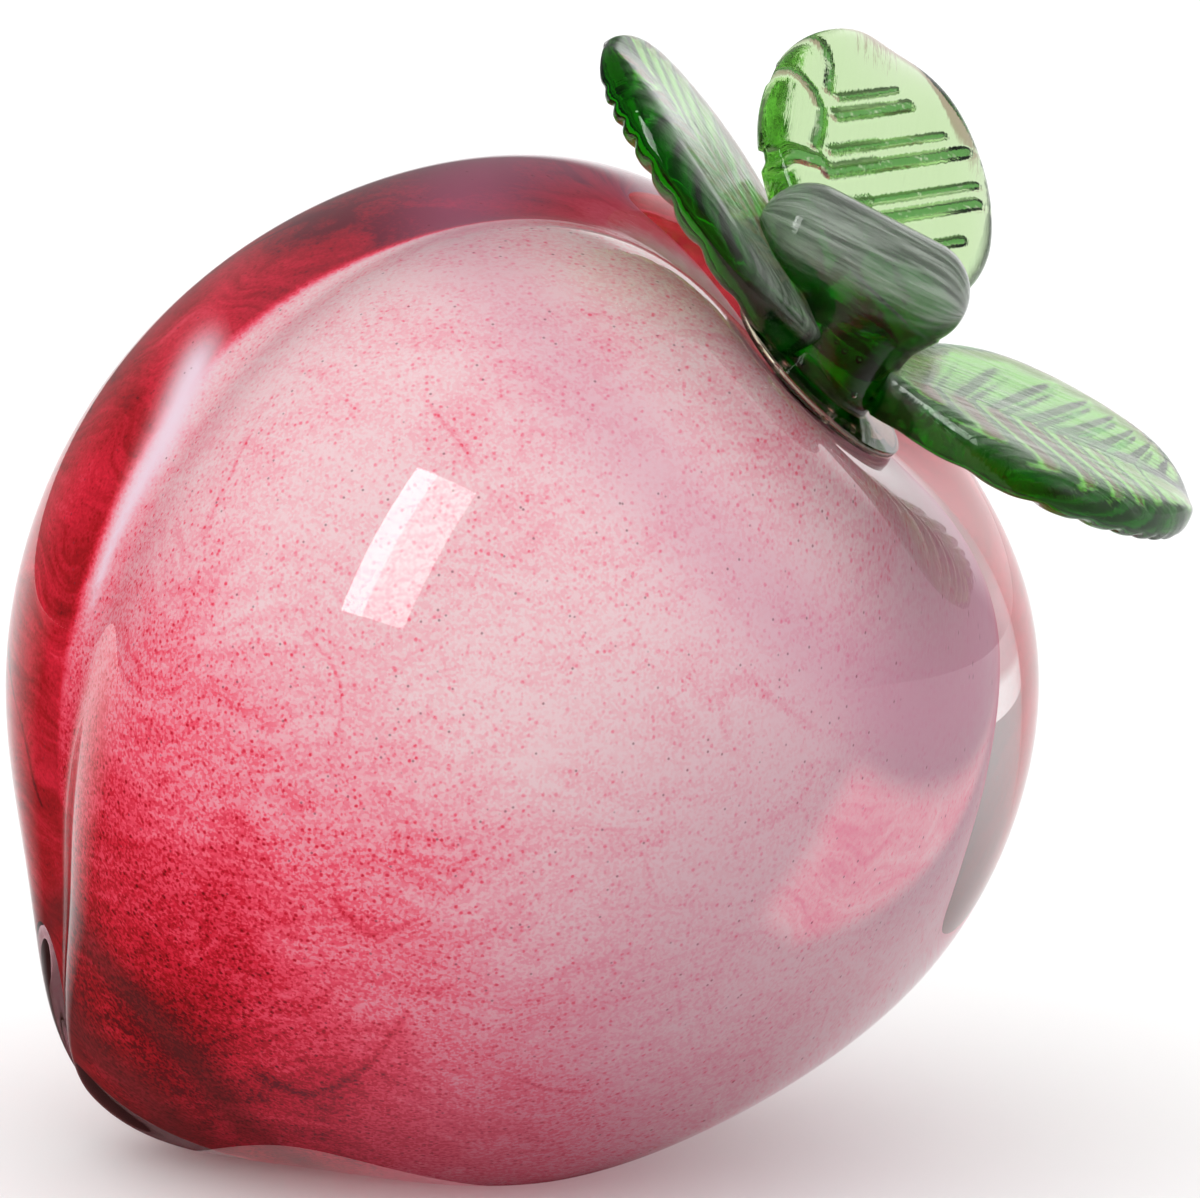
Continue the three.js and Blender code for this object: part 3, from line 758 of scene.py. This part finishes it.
bend = node(tree, "TexNoise", None, Vector=place, Scale=per_metre(BEND), Detail=2.0).outputs["Color"]
bent = node(tree, "VectorMath", TIMES_PLUS, i0=bend, i1=(BEND * MM, BEND * MM, BEND * MM), i2=place)
drawn = node(tree, "Mapping", None, Vector=bent, Scale=(0.12, 0.12, 1.0),
             Rotation=(0, np.radians(-BODY_LEAN), 0))
hair = node(tree, "TexNoise", None, Vector=drawn, Scale=per_metre(HAIR), Detail=4.0, Roughness=0.6)
hairs = node(tree, "MapRange", None, Value=hair, **MIDDLE, To_Min=-0.08, To_Max=0.08)
cloud = node(tree, "TexNoise", None, Vector=bent, Scale=per_metre(CLOUD), Detail=3.0)
clouds = node(tree, "MapRange", None, Value=cloud, **MIDDLE, To_Min=-0.08, To_Max=0.08)

fold = node(tree, "TexNoise", None, Vector=place, Scale=per_metre(FOLD), Detail=0.0)
off_fold = node(tree, "Math", {"operation": "ABSOLUTE"}, i0=node(tree, "Math", MINUS, i0=fold, i1=0.5))
line = node(tree, "MapRange", None, Value=off_fold, From_Min=0.0, From_Max=0.012, To_Min=0.16, To_Max=0.0)
where = node(tree, "TexNoise", None, Vector=place, Scale=per_metre(FOLD_PLACE), Detail=1.0)
chosen = node(tree, "MapRange", None, Value=where, From_Min=0.54, From_Max=0.6)
swirls = node(tree, "Math", TIMES, i0=line, i1=chosen)

grain = node(tree, "TexVoronoi", None, Vector=place, Scale=per_metre(GRAIN)).outputs["Color"]
chance = node(tree, "SeparateColor", None, Color=grain).outputs["Red"]
speckle = node(tree, "MapRange", None, Value=chance, **MIDDLE, To_Min=-0.07, To_Max=0.07)
dots = node(tree, "TexVoronoi", None, Vector=place, Scale=per_metre(DOT))
strength = node(tree, "SeparateColor", None, Color=dots.outputs["Color"]).outputs["Red"]
dot = node(tree, "MapRange", None, Value=dots.outputs["Distance"],
           From_Min=0.2, From_Max=0.4, To_Min=0.26, To_Max=0.0)
dotted = node(tree, "Math", PLUS, i0=speckle, i1=node(tree, "Math", TIMES, i0=dot, i1=strength))
sharp = node(tree, "MapRange", None, Value=painted["calm"], To_Min=1.0, To_Max=0.3)
grains = node(tree, "Math", TIMES, i0=dotted, i1=sharp)

cover = painted["red"]
for part in (swirls, hairs, clouds, grains):
    cover = node(tree, "Math", PLUS, i0=cover, i1=part)
print(frit.name, len(tree.nodes), "nodes so far")

# %% [markdown]
# Over the ramp lie the other painted fields, each mixed in by its own strength: the mauve of painted shade,
# the maroon of the rings and painted shade, the magenta band, the pink of painted light, brushed with the
# streaks, and the pale painted reflection. Last come rare dark flecks, where a crumb of darker glass got
# into the powder.

# %% Colour the frit
PINK_TO_MAROON = [
    (0.0, "#fddfe2"), (0.1, "#fdd2d7"), (0.22, "#fdbcc7"), (0.36, "#fd9bac"), (0.52, "#fd5b75"),
    (0.7, "#e2273f"), (0.85, "#b01620"), (1.0, "#620d12"),
]
ramp_stops = [(position, linear(code)) for position, code in PINK_TO_MAROON]
colour = node(tree, "ValToRGB", {"stops": ramp_stops}, Fac=cover)
brush = node(tree, "MapRange", None, Value=hair, **MIDDLE, To_Min=0.25, To_Max=0.75)
# Painted shade in mauve and maroon, painted light in pink and a painted reflection in near white.
for title, most, code in (
    ("mauve", 1.0, "#b28095"), ("dark", 0.75, "#552625"), ("band", 0.35, "#d583a6"),
    ("patch", brush, "#f48ba8"), ("streak", 0.97, "#fff2ff"),
):
    share = node(tree, "Math", TIMES, i0=painted[title], i1=most)
    colour = node(tree, "MixRGB", None, Fac=share, Color1=colour, Color2=linear(code))

cell = node(tree, "TexVoronoi", None, Vector=place, Scale=per_metre(FLECK))
rare = node(tree, "SeparateColor", None, Color=cell.outputs["Color"]).outputs["Green"]
picked = node(tree, "Math", {"operation": "LESS_THAN"}, i0=rare, i1=0.36)
near = node(tree, "MapRange", None, Value=cell.outputs["Distance"],
            From_Min=0.07, From_Max=0.15, To_Min=0.6, To_Max=0.0)
fleck = node(tree, "Math", TIMES, i0=near, i1=picked)
colour = node(tree, "MixRGB", None, Fac=fleck, Color1=colour, Color2=linear("#70303a"))
shader = node(tree, "BsdfPrincipled", None, Base_Color=colour, Roughness=0.6, Specular_IOR_Level=0.0)
node(tree, "OutputMaterial", None, Surface=shader)
heart.data.materials.append(frit)
print(frit.name, "on", heart.name)

# %% [markdown]
# ## Green glass
# The leaves and the stem are coloured right through, so the tint belongs to the inside: absorption takes
# red and blue away with every millimetre. A leaf seen face on is then pale, and one seen along its width
# is nearly black, with no paint at all. There are three strengths: weak in the back leaf, stronger in the
# side leaves and strongest in the stem. The tool that pressed the glass left fine strokes along it, which
# show as a low bump. Along the same strokes a grey painted sheen lies on the tops of the side leaves and
# on the stem's head, and the grooves of the leaves get painted shade.

# %% Make the green glasses
GREEN = (0.38, 0.83, 0.04, 1)
ROUGH_EDGE, STROKE, STROKE_HEIGHT = 0.5, 0.6, 0.1


def green_glass(name, density, face, groove_shade_tint, grey, sheen_tint):
    """Clear glass with a green absorption inside. Grooves take painted shade, a darker tint on the surface
    with a ragged edge, and a grey painted sheen covers the marked top by a share that follows the strokes,
    up to grey."""
    made, tree = material(name)
    place = node(tree, "TexCoord").outputs["Object"]
    titles = ("along", "across", "groove", "painted_sheen")
    stored = [node(tree, "Attribute", {"attribute_name": title}).outputs["Fac"] for title in titles]
    along, across, line, painted_sheen = stored
    crumb = node(tree, "TexNoise", None, Vector=place, Scale=per_metre(ROUGH_EDGE), Detail=2.0)
    rough = node(tree, "MapRange", None, Value=crumb, **MIDDLE, To_Min=-0.3, To_Max=0.3)
    ragged = node(tree, "Math", TIMES_PLUS, i0=line, i1=rough, i2=line)
    cut = node(tree, "MapRange", SOFT, Value=ragged, From_Min=0.45, From_Max=0.9)
    # Painted shade: the grooves take a darker tint.
    tint = node(tree, "MixRGB", None, Fac=cut, Color1=linear(face), Color2=linear(groove_shade_tint))
    flow = node(tree, "CombineXYZ", None, X=along, Y=across)
    drawn = node(tree, "Mapping", None, Vector=flow, Scale=(0.08, 1.0, 1.0))
    stroke = node(tree, "TexNoise", None, Vector=drawn, Scale=per_metre(STROKE), Detail=3.0, Roughness=0.6)
    bump = node(tree, "Bump", None, Strength=0.5, Distance=STROKE_HEIGHT * MM, Height=stroke)
    # Painted sheen: a grey share along the strokes on the marked tops.
    sheen_share = node(tree, "MapRange", None, Value=stroke,
                From_Min=0.42, From_Max=0.68, To_Min=0.3 * grey, To_Max=grey)
    sheen_share = node(tree, "Math", TIMES, i0=painted_sheen, i1=sheen_share)
    tint = node(tree, "MixRGB", None, Fac=sheen_share, Color1=tint, Color2=linear(sheen_tint))
    clear = node(tree, "Math", MINUS, i0=1.0, i1=sheen_share)
    shader = node(tree, "BsdfPrincipled", None, Base_Color=tint, Roughness=0.03, IOR=1.5,
                  Transmission_Weight=clear, Normal=bump)
    inside = node(tree, "VolumeAbsorption", None, Color=GREEN, Density=density)
    node(tree, "OutputMaterial", None, Surface=shader, Volume=inside)
    return made


leaf_glass = green_glass("pressed green glass", 430, "#f4fbef", "#94c089", 0.36, "#c9cdc6")
back_glass = green_glass("thin pressed green glass", 120, "#fafff2", "#2f6e26", 0.0, "#c9cdc6")
stem_glass = green_glass("dark green glass", 1500, "#e8f4e4", "#e8f4e4", 0.45, "#767c78")
stem.data.materials.append(stem_glass)
for name, leaf in leaves.items():
    leaf.data.materials.append(back_glass if name == "leaf_back" else leaf_glass)
print([made.name for made in (leaf_glass, back_glass, stem_glass)])

# %% [markdown]
# ## Cement
# The cement is a clear resin that has yellowed a little. One flat tint would look like water, so a slow
# cloud mixes two creams.

# %% Make the cement
CEMENT_CLOUD = 1.5
cement, tree = material("clear cement")
place = node(tree, "TexCoord").outputs["Object"]
cloud = node(tree, "TexNoise", None, Vector=place, Scale=per_metre(CEMENT_CLOUD), Detail=2.0)
tint = node(tree, "MixRGB", None, Fac=cloud, Color1=linear("#f6efe0"), Color2=linear("#d9cba6"))
shader = node(tree, "BsdfPrincipled", None, Base_Color=tint, Roughness=0.03, IOR=1.5,
              Transmission_Weight=1.0)
node(tree, "OutputMaterial", None, Surface=shader)
bead.data.materials.append(cement)
print(cement.name, "on", bead.name)

# %% [markdown]
# ## The floor
# The set is a pale paper floor that runs on past the picture. Glass shows whatever lies behind it, so what
# the floor gives depends on the ray that asks. A plain ray sees white paper with the shadow on it. A ray
# through the glass sees painted light and shade: an emitted glow that goes from maroon under the peach to
# white further off, standing for light that has passed through the heart. On the right that glow ends three
# times as soon. Light that bounces back up to the heart gets a small lift near the foot, also painted light
# from an emission.

# %% Lay the floor
FLOOR_HALF, FLOOR_DROP = 4.0, 0.05
GLOW_MIDDLE, GLOW_REACH, PAINTED_LIFT, PAINTED_LIFT_REACH = (-25 * MM, 0, 0), 400 * MM, 0.36, 80 * MM
RIGHT_START, RIGHT_END, RIGHT_FASTER = -30 * MM, 0.0, 3.0
PAINTED_GLOW_STOPS = [
    (0.085, (0.13, 0.035, 0.033, 1)), (0.16, (0.36, 0.2, 0.2, 1)), (0.26, (0.66, 0.45, 0.48, 1)),
    (0.7, (0.62, 0.45, 0.47, 1)), (1.0, (0.98, 0.96, 0.96, 1)),
]


def stage_card(name, points, faces):
    """A flat piece of the set, which is not part of the ornament."""
    mesh = bpy.data.meshes.new(name)
    mesh.from_pydata(points.tolist(), [], faces.tolist())
    card = bpy.data.objects.new(name, mesh)
    scene.collection.objects.link(card)
    return card


corners = np.array([[-1, -1], [1, -1], [1, 1], [-1, 1]]) * FLOOR_HALF
corners = np.concatenate([corners, np.full((4, 1), -FLOOR_DROP * MM)], 1)
floor = stage_card("floor", corners, np.arange(4)[None, :])

paper, tree = material("white paper floor")
path = node(tree, "LightPath").outputs
spot = node(tree, "TexCoord").outputs["Object"]
reach = node(tree, "VectorMath", {"operation": "DISTANCE"}, i0=spot, i1=GLOW_MIDDLE).outputs["Value"]
spot_x = node(tree, "SeparateXYZ", None, Vector=spot).outputs["X"]
faster = node(tree, "MapRange", None, Value=spot_x,
              From_Min=RIGHT_START, From_Max=RIGHT_END, To_Min=1.0, To_Max=RIGHT_FASTER)
far = node(tree, "Math", TIMES, i0=reach, i1=faster)
along = node(tree, "MapRange", None, Value=far, From_Min=0.0, From_Max=GLOW_REACH)
# Painted light and shade: an emission, maroon near the peach and white further off, for rays through the
# glass.
seen = node(tree, "ValToRGB", {"stops": PAINTED_GLOW_STOPS}, Fac=along)
glow = node(tree, "Emission", None, Color=seen)
# Painted light: an emission near the foot for bounced rays.
near = node(tree, "MapRange", None, Value=reach, From_Min=0.0, From_Max=PAINTED_LIFT_REACH, To_Min=PAINTED_LIFT, To_Max=0.0)
bounced = node(tree, "Math", {"operation": "MINIMUM"}, i0=path["Diffuse Depth"], i1=1.0)
lift = node(tree, "Emission", None, Strength=node(tree, "Math", TIMES, i0=bounced, i1=near))
white = node(tree, "BsdfDiffuse", None, Color=(0.8, 0.8, 0.8, 1))
lit = node(tree, "AddShader", None, i0=white, i1=lift)
direct = node(tree, "Math", WHAT_IS_LEFT, i0=path["Is Transmission Ray"], i1=path["Diffuse Depth"])
node(tree, "OutputMaterial", None, Surface=node(tree, "MixShader", None, i0=direct, i1=lit, i2=glow))
floor.data.materials.append(paper)
print("floor", 2 * FLOOR_HALF, "m wide")

# %% [markdown]
# ## The sky
# One sky serves four kinds of ray. The camera sees plain white. The heart, which is matt, is lit by a soft
# even light, a little stronger from the front and upper left. A ray that leaves through the glass sees a
# tent that is bright at the horizon, and dim above and towards the left. A reflection on the outside sees
# a dim room, with a bright low backdrop behind and a soft wall at the right. Each fade below is a
# coordinate of the direction, the two values between which it changes, and its levels at both.

# %% Light the sky
KEY, KEY_LEVEL, EVEN_LEVEL = -0.55 * right + 0.55 * up + 0.63 * toward, 0.5, 1.25
BACKDROP_TILT, ROOM_LEVEL = -1.4, 0.08
world = bpy.data.worlds.new("white studio")
world.use_nodes = True
tree = world.node_tree
tree.nodes.clear()
path = node(tree, "LightPath").outputs
way = node(tree, "TexCoord").outputs["Generated"]
split = node(tree, "SeparateXYZ", None, Vector=way).outputs
facing = node(tree, "VectorMath", {"operation": "DOT_PRODUCT"}, i0=way, i1=tuple(KEY)).outputs["Value"]
even = node(tree, "Math", TIMES_PLUS, i0=facing, i1=KEY_LEVEL, i2=EVEN_LEVEL)
rise = node(tree, "Math", TIMES_PLUS, i0=split["X"], i1=BACKDROP_TILT, i2=split["Z"])
FADES = {
    "tent": (split["Z"], 0.0, 0.45, 0.95, 0.22),
    "corner": (split["X"], -0.8, -0.1, 0.42, 1.0),
    "behind": (split["Y"], 0.3, 0.9, 0.0, 1.0),
    "low": (rise, 0.0, 0.22, 1.3, 0.22),
    "beside": (split["X"], 0.5, 0.75, 1.0, 0.3),
    "wall": (split["X"], 0.3, 0.8, 0.08, 0.6),
    "wall_top": (split["Z"], 0.0, 0.8, 1.0, 0.2),
}
fade = {
    title: node(tree, "MapRange", SOFT, Value=value, From_Min=low, From_Max=high, To_Min=first, To_Max=last)
    for title, (value, low, high, first, last) in FADES.items()
}
tent = node(tree, "Math", TIMES, i0=fade["tent"], i1=fade["corner"])
backdrop = node(tree, "Math", TIMES, i0=fade["behind"], i1=fade["low"])
backdrop = node(tree, "Math", TIMES, i0=backdrop, i1=fade["beside"])
wall = node(tree, "Math", TIMES, i0=fade["wall"], i1=fade["wall_top"])
room = node(tree, "Math", LARGER, i0=node(tree, "Math", LARGER, i0=backdrop, i1=wall), i1=ROOM_LEVEL)
mirrored = node(tree, "Math", WHAT_IS_LEFT, i0=path["Is Glossy Ray"], i1=path["Is Transmission Ray"])
level = node(tree, "MixRGB", None, Fac=mirrored, Color1=tent, Color2=room)
level = node(tree, "MixRGB", None, Fac=path["Diffuse Depth"], Color1=level, Color2=even)
level = node(tree, "MixRGB", None, Fac=path["Is Camera Ray"], Color1=level, Color2=(1, 1, 1, 1))
node(tree, "OutputWorld", None, Surface=node(tree, "Background", None, Color=level, Strength=1.0))
scene.world = world
print("sky with", len(tree.nodes), "nodes")

# %% [markdown]
# ## The window
# A tall softbox in front and to the left gives the window-shaped reflection on the crystal. A second,
# narrow one along one side makes that edge brighter. Both are kept to reflections, because as lamps they
# would burn out the pale pink.

# %% Hang the softboxes
def softbox(name, way, distance, width, height, roll, radiance, aside=0.0):
    """A lamp card that faces the peach, seen only in reflections. Its power is radiance times pi times its
    area, and aside slides it along its own width."""
    lamp = bpy.data.lights.new(name, "AREA")
    lamp.shape = "RECTANGLE"
    lamp.size, lamp.size_y = width, height
    lamp.energy = radiance * np.pi * width * height
    made = bpy.data.objects.new(name, lamp)
    way = way / np.linalg.norm(way)
    turn = Vector(way).to_track_quat("Z", "Y").to_matrix() @ Matrix.Rotation(np.radians(roll), 3, "Z")
    stand = Matrix.Translation(Vector(BODY_MIDDLE + way * distance)) @ turn.to_4x4()
    made.matrix_world = stand @ Matrix.Translation((aside, 0, 0))
    made.visible_diffuse = False
    made.visible_transmission = False
    scene.collection.objects.link(made)
    print(f"{name}: {lamp.energy:.2f} W")
    return made


WINDOW_WAY, WINDOW_HEIGHT, WINDOW_ROLL = -0.445 * right + 0.417 * up + 0.794 * toward, 0.27, -12
softbox("window_softbox", WINDOW_WAY, 0.5, 0.14, WINDOW_HEIGHT, WINDOW_ROLL, 4.5)
softbox("window_edge", WINDOW_WAY, 0.495, 0.05, WINDOW_HEIGHT, WINDOW_ROLL, 4, -0.045)

# %% [markdown]
# ## The dark card
# A white floor would wash out the underside of the polished crystal. A photographer lays a dark card round
# the foot of the glass, so that its reflection draws the edge. Here it is a ring of wine velvet that only
# reflections see, open under the base, and pale on the side where the picture shows no dark edge.

# %% Lay the dark card
CARD_CORNERS, CARD_HEIGHT, CARD_RADIUS = 120, 0.4, 4.0
HOLE_X, HOLE_WIDE, HOLE_DEEP = -8.8, 16.8, 13.5
WINE, PALE = (0.13, 0.045, 0.045, 1), (0.74, 0.74, 0.74, 1)
lap = lap_of(CARD_CORNERS)[0]
level = np.full(CARD_CORNERS, CARD_HEIGHT * MM)
inner_edge = np.stack([(HOLE_X + HOLE_WIDE * np.cos(lap)) * MM, HOLE_DEEP * MM * np.sin(lap), level], -1)
outer_edge = np.stack([CARD_RADIUS * np.cos(lap), CARD_RADIUS * np.sin(lap), level], -1)
at = np.arange(CARD_CORNERS)
nxt = np.roll(at, -1)
ring_faces = np.stack([at, at + CARD_CORNERS, nxt + CARD_CORNERS, nxt], -1)
dark_card = stage_card("dark_card", np.concatenate([inner_edge, outer_edge]), ring_faces)
for ray in ("camera", "diffuse", "transmission", "shadow"):
    setattr(dark_card, "visible_" + ray, False)

velvet, tree = material("wine velvet card")
place = node(tree, "TexCoord").outputs["Object"]
lapped = node(tree, "TexGradient", {"gradient_type": "RADIAL"}, Vector=place).outputs["Fac"]
velvet_stops = [(0.33, WINE), (0.5, PALE), (0.85, PALE), (0.94, WINE)]
cloth = node(tree, "BsdfDiffuse", None, Color=node(tree, "ValToRGB", {"stops": velvet_stops}, Fac=lapped))
through = node(tree, "LightPath").outputs["Is Transmission Ray"]
shader = node(tree, "MixShader", None, i0=through, i1=cloth, i2=node(tree, "BsdfTransparent"))
node(tree, "OutputMaterial", None, Surface=shader)
dark_card.data.materials.append(velvet)
print(dark_card.name, "with", CARD_CORNERS, "faces")

# %% [markdown]
# ## Put it together
# Every piece rides on the one body of the ornament and stands for the solid that it dresses.

# %% Join the pieces to the frame
PIECES = [
    (casing, "clear_casing", "clear_crystal"),
    (heart, "colour_layer", "pink_frit_glass"),
    (core, "clear_core", "clear_crystal"),
    (stem, "stem", "dark_green_glass"),
    (bead, "seat_bead", "clear_cement"),
    *((leaves[name], name, "green_glass") for name in LEAVES),
]
for piece, solid, finish in PIECES:
    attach(piece, "root")
    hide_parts(solid)
